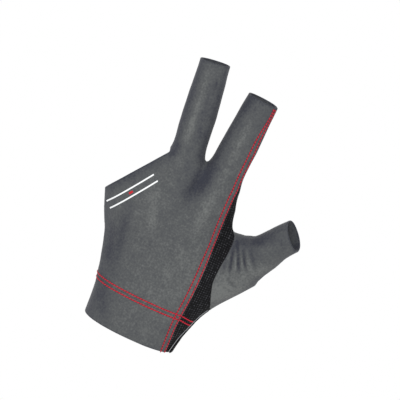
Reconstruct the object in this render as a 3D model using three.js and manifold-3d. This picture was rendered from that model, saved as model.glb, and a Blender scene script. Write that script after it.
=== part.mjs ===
// A three-finger billiard glove for the left hand, filled as a hand fills it. Millimetres.
// +Z runs from the wrist to the fingers, -Y faces the back of the hand, +X is the thumb's side.
// The origin is the centre of the wrist's opening. One smooth form of the hand is the outside of the
// cloth, the same form set in by the cloth's thickness is its inside, and the seams part the shell
// between them into the glove's panels.
import * as THREE from "three";
import { mergeVertices } from "three/addons/utils/BufferGeometryUtils.js";
import Module from "manifold-3d";

// The cloth
const WALL = 1.2;
const SEAM_GAP = 0.3;
const BINDING_WIDTH = 2.6;

// The wrist and the palm
const WRIST_WIDTH = 69;
const WRIST_DEPTH = 45;
const CUFF_HEIGHT = 28;
const PALM_HEIGHT = 133;
const PALM_WIDTH = 95;
const PALM_DEPTH = 33;

// The fingers: width at the opening, and length from the crotch or the web to the opening
const MIDDLE_WIDTH = 21.5;
const MIDDLE_LENGTH = 67;
const INDEX_WIDTH = 22.5;
const INDEX_LENGTH = 56.7;
const THUMB_WIDTH = 22.5;
const THUMB_LENGTH = 48.3;
const RING_LENGTH = 30;
const RING_WIDTH = 43;

// How square the sections are: 2 is an ellipse
const FINGER_ROUNDNESS = 2.15;
const PALM_ROUNDNESS = 2.3;
// How far two forms that meet are blended into each other
const CROTCH_BLEND = 4.5;
const PALM_BLEND = 16;
const THUMB_BLEND = 14;

// Levels of seams: how far the side seams lie towards the palm, how far the index finger's outer
// seam lies towards the back of the hand, and how high the mesh gusset's top lies
const SIDE_SEAM_DEPTH = 2;
const INDEX_SEAM_DEPTH = 4;
const GUSSET_TOP = 1.04 * PALM_HEIGHT;
// The bulk of the seam along the index finger, which stands proud of it as a soft ridge
const RIDGE_WIDTH = 5.6;
const RIDGE_BLEND = 5;

// The size of a facet across, through and along the hand
const FACET_ACROSS = 5.2;
const FACET_THROUGH = 4.8;
const FACET_ALONG = 7.2;
const FACET = new THREE.Vector3(FACET_ACROSS, FACET_THROUGH, FACET_ALONG);
// Rounds that even out the facets, and steps that bring a point onto the form
const RELAX_ROUNDS = 4;
const NEWTON_TURNS = 3;
// Sections between two rows of a form's table, and sections and half sides of the binding
const SPINE_STEPS = 6;
const BINDING_STEPS = 14;
const BINDING_SIDES = 5;
// Farther than any part of the glove
const FAR = 2 * (PALM_HEIGHT + MIDDLE_LENGTH + PALM_WIDTH);

const GREY_CLOTH = new THREE.MeshStandardMaterial({ color: 0x5d6264, roughness: 0.85, metalness: 0 });
const BLACK_MESH = new THREE.MeshStandardMaterial({ color: 0x18181a, roughness: 0.9, metalness: 0 });
const BLACK_BINDING = new THREE.MeshStandardMaterial({ color: 0x101012, roughness: 0.75, metalness: 0 });

const wasm = await Module();
wasm.setup();

// Sections of the wrist and palm. up is a share of PALM_HEIGHT. palm goes from 0, the wrist's width
// and depth, to 1, the palm's. aside is a share of PALM_WIDTH towards the thumb, and fill and depth
// scale that row's width and depth.
const PALM_ROWS = [
  { up: -0.14, palm: 0.0, aside: -0.005, fill: 0.98, depth: 1.0 },
  { up: 0.0, palm: 0.0, aside: -0.009, fill: 0.99, depth: 1.0 },
  { up: 0.1, palm: 0.08, aside: -0.005, fill: 1.0, depth: 1.0 },
  { up: 0.21, palm: 0.3, aside: 0.0, fill: 0.985, depth: 1.0 },
  { up: 0.38, palm: 0.62, aside: -0.023, fill: 0.95, depth: 1.0 },
  { up: 0.53, palm: 0.85, aside: -0.064, fill: 0.931, depth: 1.02 },
  { up: 0.66, palm: 1.0, aside: -0.109, fill: 0.953, depth: 0.98 },
  { up: 0.79, palm: 1.0, aside: -0.139, fill: 0.92, depth: 0.88 },
  { up: 0.88, palm: 1.0, aside: -0.152, fill: 0.86, depth: 0.7 },
];

// Each finger is a straight axis from a root in the palm. across and up are shares of PALM_WIDTH and
// PALM_HEIGHT, lean turns the axis towards the thumb and tilt towards the back of the hand, in
// degrees. In its rows along is a share of the finger's length, and aside, out, wide and deep are
// shares of its width: out is towards the palm, and wide and deep are half sizes.
const MIDDLE = {
  across: -0.171, up: 1.0, lean: -8.1, tilt: 0, length: MIDDLE_LENGTH, width: MIDDLE_WIDTH,
  rows: [
    { along: -0.85, aside: -0.05, out: 0.05, wide: 0.42, deep: 0.5 },
    { along: -0.45, aside: -0.02, out: 0.0, wide: 0.52, deep: 0.6 },
    { along: -0.1, aside: 0.0, out: 0.0, wide: 0.55, deep: 0.56 },
    { along: 0.15, aside: 0.0, out: 0.0, wide: 0.545, deep: 0.53 },
    { along: 0.45, aside: 0.0, out: 0.0, wide: 0.555, deep: 0.52 },
    { along: 0.75, aside: 0.0, out: 0.0, wide: 0.53, deep: 0.5 },
    { along: 1.0, aside: 0.0, out: 0.0, wide: 0.5, deep: 0.48 },
    { along: 1.3, aside: 0.0, out: 0.0, wide: 0.5, deep: 0.48 },
  ],
};
const INDEX = {
  across: 0.135, up: 1.0, lean: 2.6, tilt: 0, length: INDEX_LENGTH, width: INDEX_WIDTH,
  rows: [
    { along: -1.0, aside: -0.02, out: 0.05, wide: 0.45, deep: 0.5 },
    { along: -0.5, aside: 0.02, out: 0.0, wide: 0.55, deep: 0.6 },
    { along: -0.1, aside: 0.01, out: 0.0, wide: 0.575, deep: 0.55 },
    { along: 0.2, aside: 0.01, out: 0.0, wide: 0.56, deep: 0.53 },
    { along: 0.55, aside: 0.0, out: 0.0, wide: 0.54, deep: 0.51 },
    { along: 0.85, aside: 0.0, out: 0.0, wide: 0.51, deep: 0.48 },
    { along: 1.0, aside: 0.0, out: 0.0, wide: 0.49, deep: 0.47 },
    { along: 1.3, aside: 0.0, out: 0.0, wide: 0.49, deep: 0.47 },
  ],
};
const THUMB = {
  across: 0.469, up: 0.582, lean: 42, tilt: 10, length: THUMB_LENGTH, width: THUMB_WIDTH,
  rows: [
    { along: -0.95, aside: 0.52, out: 0.0, wide: 0.77, deep: 0.7 },
    { along: -0.32, aside: 0.25, out: 0.1, wide: 0.865, deep: 0.72 },
    { along: 0.13, aside: 0.11, out: 0.08, wide: 0.88, deep: 0.64 },
    { along: 0.3, aside: 0.11, out: 0.06, wide: 0.725, deep: 0.59 },
    { along: 0.46, aside: 0.1, out: 0.03, wide: 0.6, deep: 0.54 },
    { along: 0.74, aside: -0.02, out: 0.0, wide: 0.51, deep: 0.48 },
    { along: 1.0, aside: -0.08, out: 0.0, wide: 0.5, deep: 0.47 },
    { along: 1.4, aside: -0.1, out: 0.0, wide: 0.49, deep: 0.47 },
  ],
};
// The seam's ridge beside the index finger, where wide and deep are shares of RIDGE_WIDTH.
const RIDGE = {
  ...INDEX,
  rows: [
    { along: -0.6, aside: 0.38, out: -0.3, wide: 0.2, deep: 0.2 },
    { along: -0.1, aside: 0.44, out: -0.27, wide: 0.44, deep: 0.44 },
    { along: 0.35, aside: 0.43, out: -0.24, wide: 0.5, deep: 0.5 },
    { along: 0.8, aside: 0.38, out: -0.19, wide: 0.44, deep: 0.44 },
    { along: 1.0, aside: 0.37, out: -0.13, wide: 0.36, deep: 0.36 },
    { along: 1.3, aside: 0.36, out: -0.1, wide: 0.36, deep: 0.36 },
  ],
};
// The ring and little fingers leave by one opening, whose edge lies on this form.
const RING = {
  across: -0.463, up: 0.8, lean: -33, tilt: 0, length: RING_LENGTH, width: RING_WIDTH,
  rows: [
    { along: -1.0, aside: 0.1, out: 0.0, wide: 0.45, deep: 0.34 },
    { along: 0.0, aside: 0.0, out: 0.0, wide: 0.51, deep: 0.33 },
    { along: 0.7, aside: 0.0, out: 0.0, wide: 0.5, deep: 0.31 },
  ],
};

// Soft hollows in the back of the hand. across and reach are shares of PALM_WIDTH, up and length of
// PALM_HEIGHT, lean turns the hollow towards the thumb, in degrees, and deep is a share of PALM_DEPTH.
const DENTS = [
  { across: 0.0, up: 0.86, lean: 0, reach: 0.05, length: 0.13, deep: 0.05 },
  { across: -0.24, up: 0.78, lean: -14, reach: 0.05, length: 0.16, deep: 0.03 },
  { across: -0.5, up: 0.5, lean: -21, reach: 0.045, length: 0.24, deep: 0.045 },
  { across: 0.33, up: 0.62, lean: 4, reach: 0.05, length: 0.12, deep: 0.04 },
];

// The thumb's opening is cut across at its own angles, in degrees.
const THUMB_OPENING = { lean: 47, tilt: 15 };

// Lines across and up the palm, as shares of PALM_WIDTH and PALM_HEIGHT. The opening for the last
// two fingers runs from the little finger's side up to the middle finger, and its edge dips towards
// the palm by an angle in degrees.
const RING_OPENING_DIP = 7;
const RING_OPENING = [
  { across: -0.942, up: 0.337 },
  { across: -0.3, up: 0.963 },
  { across: -0.307, up: 0.985 },
  { across: -0.313, up: 1.025 },
  { across: -0.323, up: 1.07 },
  { across: -0.47, up: 1.6 },
  { across: -0.942, up: 1.6 },
];
// The seam down the back of the hand, from above the mesh gusset's top to below the wrist.
const INDEX_SEAM = [
  { across: 0.268, up: 1.15 },
  { across: 0.268, up: 1.0 },
  { across: 0.276, up: 0.881 },
  { across: 0.286, up: 0.753 },
  { across: 0.3, up: 0.61 },
  { across: 0.313, up: 0.458 },
  { across: 0.312, up: 0.329 },
  { across: 0.301, up: 0.193 },
  { across: 0.306, up: 0.065 },
  { across: 0.313, up: -0.1 },
];
// The seam round the thumb, from above the web down to the edge of the palm.
const THUMB_SEAM = [
  { across: 0.63, up: 1.13 },
  { across: 0.371, up: 0.741 },
  { across: 0.401, up: 0.713 },
  { across: 0.411, up: 0.667 },
  { across: 0.405, up: 0.58 },
  { across: 0.401, up: 0.519 },
  { across: 0.402, up: 0.459 },
  { across: 0.422, up: 0.402 },
  { across: 0.459, up: 0.328 },
  { across: 0.474, up: 0.298 },
  { across: 0.84, up: 0.26 },
];
// Heights that the binding on the gusset's edge passes through, as shares of PALM_HEIGHT.
const BINDING_HEIGHTS = [-0.03, 0.04, 0.11, 0.18, 0.25, 0.285];

const ACROSS = new THREE.Vector3(1, 0, 0);
const TO_PALM = new THREE.Vector3(0, 1, 0);

// The unit vectors of a finger: along its axis, aside from it, and out towards the palm.
function fingerAxes({ lean, tilt }) {
  const turn = new THREE.Quaternion().setFromEuler(
    new THREE.Euler(THREE.MathUtils.degToRad(tilt), THREE.MathUtils.degToRad(lean), 0, "YXZ"),
  );
  return {
    along: new THREE.Vector3(0, 0, 1).applyQuaternion(turn),
    aside: ACROSS.clone().applyQuaternion(turn),
    out: TO_PALM.clone().applyQuaternion(turn),
  };
}

function rootOf({ across, up }) {
  return new THREE.Vector3(across * PALM_WIDTH, 0, up * PALM_HEIGHT);
}

// A point on a finger's axis at a share of its length.
function axisPoint(finger, along) {
  return rootOf(finger).addScaledVector(fingerAxes(finger).along, along * finger.length);
}

// Rounded sections along a spine, with smooth steps between them.
function limbOf(sections, roundness) {
  const steps = SPINE_STEPS * (sections.length - 1);
  const spine = new THREE.CatmullRomCurve3(sections.map((s) => s.centre));
  const sizes = new THREE.CatmullRomCurve3(sections.map((s) => new THREE.Vector3(s.wide, s.deep, 0)));
  const points = [];
  for (let i = 0; i <= steps; i++) {
    const t = i / steps;
    const size = sizes.getPoint(t);
    points.push({ centre: spine.getPoint(t), tangent: spine.getTangent(t), wide: size.x, deep: size.y });
  }
  return { points, roundness };
}

function fingerLimb(finger, girth = finger.width) {
  const { along, aside, out } = fingerAxes(finger);
  const sections = finger.rows.map((row) => ({
    centre: rootOf(finger)
      .addScaledVector(along, row.along * finger.length)
      .addScaledVector(aside, row.aside * finger.width)
      .addScaledVector(out, row.out * finger.width),
    wide: row.wide * girth,
    deep: row.deep * girth,
  }));
  return limbOf(sections, FINGER_ROUNDNESS);
}

function palmLimb() {
  const sections = PALM_ROWS.map((row) => ({
    centre: new THREE.Vector3(row.aside * PALM_WIDTH, 0, row.up * PALM_HEIGHT),
    wide: (THREE.MathUtils.lerp(WRIST_WIDTH, PALM_WIDTH, row.palm) * row.fill) / 2,
    deep: (THREE.MathUtils.lerp(WRIST_DEPTH, PALM_DEPTH, row.palm) * row.depth) / 2,
  }));
  return limbOf(sections, PALM_ROUNDNESS);
}

// How far a point is outside a limb, nearly exact close to its surface.
function limbDistance(limb, p) {
  const { points, roundness: n } = limb;
  let best = Infinity;
  let found = null;
  for (let i = 0; i + 1 < points.length; i++) {
    const a = points[i].centre;
    const b = points[i + 1].centre;
    const dx = b.x - a.x;
    const dy = b.y - a.y;
    const dz = b.z - a.z;
    const along = (p.x - a.x) * dx + (p.y - a.y) * dy + (p.z - a.z) * dz;
    const t = Math.min(1, Math.max(0, along / (dx * dx + dy * dy + dz * dz)));
    const away = (p.x - a.x - dx * t) ** 2 + (p.y - a.y - dy * t) ** 2 + (p.z - a.z - dz * t) ** 2;
    if (away < best) {
      best = away;
      found = { i, t };
    }
  }
  const from = points[found.i];
  const to = points[found.i + 1];
  const centre = from.centre.clone().lerp(to.centre, found.t);
  const tangent = from.tangent.clone().lerp(to.tangent, found.t).normalize();
  const wide = THREE.MathUtils.lerp(from.wide, to.wide, found.t);
  const deep = THREE.MathUtils.lerp(from.deep, to.deep, found.t);
  const side = TO_PALM.clone().cross(tangent).normalize();
  const face = tangent.clone().cross(side);
  const q = p.clone().sub(centre);
  const halves = [wide, deep, deep];
  const shares = [side, face, tangent].map((axis, i) => Math.abs(q.dot(axis)) / halves[i]);
  const reach = shares.reduce((sum, share) => sum + share ** n, 0) ** (1 / n);
  if (reach < 1e-3) return -Math.min(wide, deep);
  const slope = Math.hypot(...shares.map((share, i) => share ** (n - 1) / halves[i]));
  return ((reach - 1) * reach ** (n - 1)) / slope;
}

function blend(a, b, width) {
  const share = Math.max(width - Math.abs(a - b), 0) / width;
  return Math.min(a, b) - (share ** 3 * width) / 6;
}

const LIMBS = {
  palm: palmLimb(),
  middle: fingerLimb(MIDDLE),
  index: fingerLimb(INDEX),
  thumb: fingerLimb(THUMB),
  ring: fingerLimb(RING),
  ridge: fingerLimb(RIDGE, RIDGE_WIDTH),
};

// How far the dents press in the back of the hand at a point.
function dentDepth(p) {
  const towardsBack = THREE.MathUtils.smoothstep(-p.y, 0, PALM_DEPTH / 4);
  return DENTS.reduce((sum, dent) => {
    const lean = THREE.MathUtils.degToRad(dent.lean);
    const x = p.x - dent.across * PALM_WIDTH;
    const z = p.z - dent.up * PALM_HEIGHT;
    const aside = (x * Math.cos(lean) - z * Math.sin(lean)) / (dent.reach * PALM_WIDTH);
    const along = (x * Math.sin(lean) + z * Math.cos(lean)) / (dent.length * PALM_HEIGHT);
    return sum + towardsBack * dent.deep * PALM_DEPTH * Math.exp(-(aside ** 2) - along ** 2);
  }, 0);
}

// How far a point is outside the hand's form.
function handDistance(p) {
  const index = blend(limbDistance(LIMBS.index, p), limbDistance(LIMBS.ridge, p), RIDGE_BLEND);
  const middleAndIndex = blend(limbDistance(LIMBS.middle, p), index, CROTCH_BLEND);
  const fingers = blend(middleAndIndex, limbDistance(LIMBS.ring, p), CROTCH_BLEND);
  const hand = blend(fingers, limbDistance(LIMBS.palm, p), PALM_BLEND);
  return blend(hand, limbDistance(LIMBS.thumb, p), THUMB_BLEND) + dentDepth(p);
}

// Which way a distance grows fastest, and as the vector's length how fast it grows.
function outward(distance, p) {
  const step = WALL / 24;
  const normal = new THREE.Vector3();
  for (const axis of ["x", "y", "z"]) {
    const ahead = p.clone();
    const behind = p.clone();
    ahead[axis] += step;
    behind[axis] -= step;
    normal[axis] = (distance(ahead) - distance(behind)) / (2 * step);
  }
  return normal;
}

function ontoSurface(distance, p) {
  for (let turn = 0; turn < NEWTON_TURNS; turn++) {
    const normal = outward(distance, p);
    p.addScaledVector(normal, -distance(p) / normal.lengthSq());
  }
  return p;
}

// A grid of distances, with the corners and the cells numbered from zero along x, y and z.
function sampleGrid(distance, box, cell) {
  const reach = box.getSize(new THREE.Vector3()).divide(cell).ceil();
  const key = (at) => (at[0] * (reach.y + 1) + at[1]) * (reach.z + 1) + at[2];
  const corner = (at) => new THREE.Vector3().fromArray(at).multiply(cell).add(box.min);
  const values = [];
  for (let i = 0; i <= reach.x; i++) {
    for (let j = 0; j <= reach.y; j++) {
      for (let k = 0; k <= reach.z; k++) values.push(distance(corner([i, j, k])));
    }
  }
  return { reach, key, corner, valueAt: (at) => values[key(at)] };
}

// The step from a grid corner to the next one along an axis: 0, 1 or 2.
function stepOf(axis) {
  return [0, 1, 2].map((at) => Number(at === axis % 3));
}

function moved(at, ...steps) {
  return at.map((n, i) => steps.reduce((sum, [share, step]) => sum + share * step[i], n));
}

// A closed surface where a distance is zero: one point in each cell of a grid that the surface
// crosses, and a quad round each grid edge that it crosses.
function surfaceNet(distance, box, cell) {
  const { reach, key, corner, valueAt } = sampleGrid(distance, box, cell);
  const points = [];
  const pointOf = new Map();

  // The middle of the crossings on a cell's twelve edges.
  function cellPoint(at) {
    if (pointOf.has(key(at))) return pointOf.get(key(at));
    const crossings = [];
    for (const axis of [0, 1, 2]) {
      for (const [a, b] of [[0, 0], [1, 0], [0, 1], [1, 1]]) {
        const low = moved(at, [a, stepOf(axis + 1)], [b, stepOf(axis + 2)]);
        const high = moved(low, [1, stepOf(axis)]);
        const before = valueAt(low);
        const after = valueAt(high);
        if (before < 0 === after < 0) continue;
        crossings.push(corner(low).lerp(corner(high), before / (before - after)));
      }
    }
    const middle = crossings.reduce((sum, p) => sum.add(p), new THREE.Vector3());
    points.push(middle.divideScalar(crossings.length));
    pointOf.set(key(at), points.length - 1);
    return points.length - 1;
  }

  const triangles = [];
  function addQuad(a, b, c, d) {
    const across = points[a].distanceTo(points[c]) < points[b].distanceTo(points[d]);
    if (across) triangles.push([a, b, c], [a, c, d]);
    else triangles.push([a, b, d], [b, c, d]);
  }
  for (let i = 1; i < reach.x; i++) {
    for (let j = 1; j < reach.y; j++) {
      for (let k = 1; k < reach.z; k++) {
        for (const axis of [0, 1, 2]) {
          const isInside = valueAt([i, j, k]) < 0;
          if (isInside === valueAt(moved([i, j, k], [1, stepOf(axis)])) < 0) continue;
          const ring = [[0, 0], [-1, 0], [-1, -1], [0, -1]].map(([a, b]) =>
            cellPoint(moved([i, j, k], [a, stepOf(axis + 1)], [b, stepOf(axis + 2)])),
          );
          if (!isInside) ring.reverse();
          addQuad(...ring);
        }
      }
    }
  }
  return { points, triangles };
}

// Evens out a net's points along its surface.
function relax(net, distance, rounds) {
  const neighbours = net.points.map(() => new Set());
  for (const [a, b, c] of net.triangles) {
    neighbours[a].add(b).add(c);
    neighbours[b].add(c).add(a);
    neighbours[c].add(a).add(b);
  }
  for (let round = 0; round < rounds; round++) {
    const means = neighbours.map((near) => {
      const sum = [...near].reduce((total, n) => total.add(net.points[n]), new THREE.Vector3());
      return sum.divideScalar(near.size);
    });
    net.points = net.points.map((p, i) => ontoSurface(distance, p.clone().lerp(means[i], 0.5)));
  }
}

// Closed meshes as solids that can be cut and joined
function solidOfPoints(points, triangles) {
  return new wasm.Manifold(
    new wasm.Mesh({
      numProp: 3,
      vertProperties: new Float32Array(points.flatMap((p) => p.toArray())),
      triVerts: new Uint32Array(triangles.flat()),
    }),
  );
}

function solidOf(geometry) {
  geometry.deleteAttribute("normal");
  geometry.deleteAttribute("uv");
  const merged = mergeVertices(geometry);
  return new wasm.Manifold(
    new wasm.Mesh({
      numProp: 3,
      vertProperties: new Float32Array(merged.attributes.position.array),
      triVerts: new Uint32Array(merged.index.array),
    }),
  );
}

function meshOf(name, solid, material) {
  const { vertProperties, triVerts } = solid.getMesh();
  const geometry = new THREE.BufferGeometry();
  geometry.setAttribute("position", new THREE.BufferAttribute(vertProperties, 3));
  geometry.setIndex(new THREE.BufferAttribute(triVerts, 1));
  geometry.computeVertexNormals();
  const mesh = new THREE.Mesh(geometry, material);
  mesh.name = name;
  return mesh;
}

// A box that is far larger than the glove, from one level up to another along an axis.
function slab(axis, from, to) {
  const size = new THREE.Vector3(1, 1, 1).multiplyScalar(2 * FAR);
  const centre = new THREE.Vector3();
  size[axis] = to - from;
  centre[axis] = (from + to) / 2;
  return solidOf(new THREE.BoxGeometry(...size.toArray()).translate(...centre.toArray()));
}

// An outline across and up the hand, extruded from one depth to another.
function extruded(outline, from, to) {
  const shape = new THREE.Shape(outline.map((p) => new THREE.Vector2(p.x, p.z)));
  const geometry = new THREE.ExtrudeGeometry(shape, { depth: to - from, bevelEnabled: false });
  return geometry.rotateX(Math.PI / 2).translate(0, to, 0);
}

function prism(outline, from, to) {
  return solidOf(extruded(outline, from, to));
}

function seamPoint({ across, up }) {
  return new THREE.Vector3(across * PALM_WIDTH, 0, up * PALM_HEIGHT);
}

// The gap that a seam leaves: a thin band along a line across and up the hand.
function seamBand(line, from, to) {
  const half = SEAM_GAP / 2;
  const sides = line.map((p, i) => {
    const along = line[Math.min(i + 1, line.length - 1)].clone().sub(line[Math.max(i - 1, 0)]);
    return new THREE.Vector3(-along.z, 0, along.x).normalize().multiplyScalar(half);
  });
  const left = line.map((p, i) => p.clone().add(sides[i]));
  const right = line.map((p, i) => p.clone().sub(sides[i]));
  return prism([...left, ...right.reverse()], from, to);
}

// What lies past the opening of a finger, as a box that stands on the opening's plane.
function pastOpening(finger, { lean, tilt }) {
  const length = FAR / 2;
  const wide = 1.9 * finger.width;
  const deep = 4 * finger.width;
  const box = new THREE.BoxGeometry(wide, deep, length);
  box.translate(0, 0, length / 2).rotateX(THREE.MathUtils.degToRad(tilt));
  box.rotateY(THREE.MathUtils.degToRad(lean)).translate(...axisPoint(finger, 1).toArray());
  return solidOf(box);
}

// The cloth, whole and uncut
const reachBox = new THREE.Box3();
for (const { points } of Object.values(LIMBS)) {
  for (const { centre, wide, deep } of points) {
    reachBox.expandByPoint(centre.clone().addScalar(Math.max(wide, deep)));
    reachBox.expandByPoint(centre.clone().subScalar(Math.max(wide, deep)));
  }
}
reachBox.expandByScalar(FACET_ALONG);
const net = surfaceNet(handDistance, reachBox, FACET);
relax(net, handDistance, RELAX_ROUNDS);
const insidePoints = net.points.map((p) =>
  p.clone().addScaledVector(outward(handDistance, p).normalize(), -WALL),
);
const cloth = solidOfPoints(net.points, net.triangles).subtract(
  solidOfPoints(insidePoints, net.triangles),
);

// The openings for the wrist, the middle finger, the index, the thumb, and the last two fingers
const ringLevel = RING.up * PALM_HEIGHT;
const ringOpening = extruded(RING_OPENING.map(seamPoint), -PALM_DEPTH, PALM_DEPTH)
  .translate(0, 0, -ringLevel)
  .rotateX(-THREE.MathUtils.degToRad(RING_OPENING_DIP))
  .translate(0, 0, ringLevel);
const openCloth = cloth
  .subtract(slab("z", -FAR, 0))
  .subtract(pastOpening(MIDDLE, MIDDLE))
  .subtract(pastOpening(INDEX, INDEX))
  .subtract(pastOpening(THUMB, THUMB_OPENING))
  .subtract(solidOf(ringOpening));

// The seams across and up the hand, each from its top to its bottom
const indexSeam = INDEX_SEAM.map(seamPoint);
const thumbSeam = THUMB_SEAM.map(seamPoint);
const topOf = (line) => line[0];
const bottomOf = (line) => line[line.length - 1];
const farRight = (p) => new THREE.Vector3(FAR, 0, p.z);
const rightOf = (line) => prism([...line, farRight(bottomOf(line)), farRight(topOf(line))], -FAR, FAR);

// The parts of space that the seams bound: the thumb, the outer side of the index finger, the column
// right of the index seam with the mesh gusset on its back, the cuff, and the back of the hand.
const thumbSpace = rightOf(thumbSeam);
const aboveGusset = slab("z", GUSSET_TOP, FAR);
const indexSide = rightOf([axisPoint(INDEX, 2), axisPoint(INDEX, -1)]).intersect(aboveGusset);
const gussetColumn = rightOf(indexSeam).subtract(thumbSpace).subtract(aboveGusset);
const gussetSpace = gussetColumn.intersect(slab("y", -FAR, SIDE_SEAM_DEPTH));
const cuffSpace = slab("z", -FAR, CUFF_HEIGHT).subtract(gussetSpace).subtract(thumbSpace);
const backSpace = slab("y", -FAR, SIDE_SEAM_DEPTH)
  .subtract(indexSide)
  .add(indexSide.intersect(slab("y", -FAR, -INDEX_SEAM_DEPTH)))
  .subtract(gussetColumn)
  .subtract(cuffSpace)
  .subtract(thumbSpace);

// The gaps at the seams
const around = (level) => [level - SEAM_GAP / 2, level + SEAM_GAP / 2];
const gapAcross = (axis, level) => slab(axis, ...around(level));
const frontOfGap = slab("y", -FAR, around(SIDE_SEAM_DEPTH)[1]);
const gaps = [
  seamBand(thumbSeam, -FAR, FAR),
  seamBand(indexSeam, -FAR, around(SIDE_SEAM_DEPTH)[1]).subtract(aboveGusset),
  gapAcross("z", CUFF_HEIGHT).subtract(gussetSpace),
  gapAcross("z", GUSSET_TOP).intersect(rightOf(indexSeam)).intersect(frontOfGap),
  gapAcross("y", -INDEX_SEAM_DEPTH).intersect(indexSide),
  gapAcross("y", SIDE_SEAM_DEPTH).intersect(gussetColumn),
  gapAcross("y", SIDE_SEAM_DEPTH)
    .subtract(indexSide)
    .subtract(gussetColumn)
    .subtract(thumbSpace)
    .subtract(slab("z", -FAR, CUFF_HEIGHT)),
];

// The binding along the gusset's edge, from the wrist up to the thumb's seam, half sunk in the cloth
function rightEdge(up) {
  const at = new THREE.Vector3(0, SIDE_SEAM_DEPTH, up * PALM_HEIGHT);
  const step = WALL / 4;
  while (handDistance(at) < 0) at.x += step;
  const sunk = outward(handDistance, at).normalize().multiplyScalar(-WALL / 2);
  return ontoSurface(handDistance, at).add(sunk);
}
const bindingLine = new THREE.CatmullRomCurve3(BINDING_HEIGHTS.map(rightEdge));
function bindingTube(radius) {
  const section = new THREE.Shape();
  section.absarc(0, 0, radius, 0, 2 * Math.PI);
  return solidOf(
    new THREE.ExtrudeGeometry(section, {
      steps: BINDING_STEPS,
      curveSegments: BINDING_SIDES,
      extrudePath: bindingLine,
    }),
  );
}
const binding = bindingTube(BINDING_WIDTH / 2).subtract(slab("z", -FAR, 0));
const bindingGap = bindingTube(BINDING_WIDTH / 2 + SEAM_GAP);

const sewn = gaps.reduce((rest, gap) => rest.subtract(gap), openCloth).subtract(bindingGap);
const palm = [thumbSpace, gussetSpace, cuffSpace, backSpace].reduce(
  (rest, space) => rest.subtract(space),
  sewn,
);

const group = new THREE.Group();
group.add(meshOf("back_panel", sewn.intersect(backSpace), GREY_CLOTH));
group.add(meshOf("palm_panel", palm, GREY_CLOTH));
group.add(meshOf("thumb_sleeve", sewn.intersect(thumbSpace), GREY_CLOTH));
group.add(meshOf("mesh_gusset", sewn.intersect(gussetSpace), BLACK_MESH));
group.add(meshOf("wrist_cuff", sewn.intersect(cuffSpace), GREY_CLOTH));
group.add(meshOf("edge_binding", binding, BLACK_BINDING));
export default group;
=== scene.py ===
# Looks of a three-finger billiard glove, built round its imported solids.
# The form is worked out in millimetres, as the solids are, and turned into metres for Blender.
# -Y faces the back of the hand, +Z runs from the wrist to the fingers, +X is the thumb's side.
import math

import bpy
import numpy as np
from mathutils import Matrix, Vector
from mathutils.kdtree import KDTree


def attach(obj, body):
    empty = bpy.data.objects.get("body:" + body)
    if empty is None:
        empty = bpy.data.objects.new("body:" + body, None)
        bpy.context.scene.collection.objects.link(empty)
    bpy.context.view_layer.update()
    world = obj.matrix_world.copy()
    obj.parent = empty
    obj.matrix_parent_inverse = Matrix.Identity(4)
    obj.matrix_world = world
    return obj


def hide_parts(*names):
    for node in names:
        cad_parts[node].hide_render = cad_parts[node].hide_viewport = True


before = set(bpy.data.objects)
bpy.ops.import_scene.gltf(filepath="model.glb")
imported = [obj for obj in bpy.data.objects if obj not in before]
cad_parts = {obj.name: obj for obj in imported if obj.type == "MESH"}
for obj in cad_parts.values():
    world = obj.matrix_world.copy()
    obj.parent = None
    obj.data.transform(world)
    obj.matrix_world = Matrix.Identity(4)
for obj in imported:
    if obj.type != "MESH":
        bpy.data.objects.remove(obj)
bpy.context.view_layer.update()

MM = 0.001

# The cloth: half the thickness of the knit and of the mesh, and how far their edges are rounded
KNIT_HALF = 0.5
MESH_HALF = 0.4
HEM_ROUNDING = 0.6
SEAM_ROUNDING = 0.3

# The wrist, the palm and the fingers, as the solids have them
WRIST_WIDTH = 69
WRIST_DEPTH = 45
CUFF_HEIGHT = 28
PALM_HEIGHT = 133
PALM_WIDTH = 95
PALM_DEPTH = 33
MIDDLE_WIDTH = 21.5
MIDDLE_LENGTH = 67
INDEX_WIDTH = 22.5
INDEX_LENGTH = 56.7
THUMB_WIDTH = 22.5
THUMB_LENGTH = 48.3
RING_LENGTH = 30
RING_WIDTH = 43
RIDGE_WIDTH = 5.6
FINGER_ROUNDNESS = 2.15
PALM_ROUNDNESS = 2.3
CROTCH_BLEND = 4.5
RIDGE_BLEND = 5
PALM_BLEND = 16
THUMB_BLEND = 14

# Seams: the side seam's level towards the palm, the gusset's top, and the height over which the
# gusset narrows to a tip a little past the index seam
SIDE_SEAM_DEPTH = 2
GUSSET_TOP = 1.04 * PALM_HEIGHT
GUSSET_TAPER = 32
GUSSET_TIP = 0.5
# Heights between which the index seam leaves its line across the hand for a level towards the palm,
# and that level at heights up the index finger
SEAM_TURN = (110, 124)
SEAM_LEVELS = [(100, -8.8), (122, -8.4), (134, -7.3), (150, -7.0), (166, -7.0), (186, -5.0), (200, -4.0)]

# The net over the form: its first cells, rounds that even it out, and rounds that halve its cells
NET_CELL = np.array([3.6, 3.4, 4.2])
RELAX_ROUNDS = 8
HALVINGS = 2
SPINE_STEPS = 6
# Places between two points of the thumb's seam, of the other seams, and of the binding
THUMB_SEAM_STEPS = 6
SEAM_STEPS = 8
BINDING_STEPS = 14


def table(columns, rows):
    """A table's rows, each with its values by the names of the columns."""
    return [dict(zip(columns.split(), row)) for row in rows]


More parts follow.
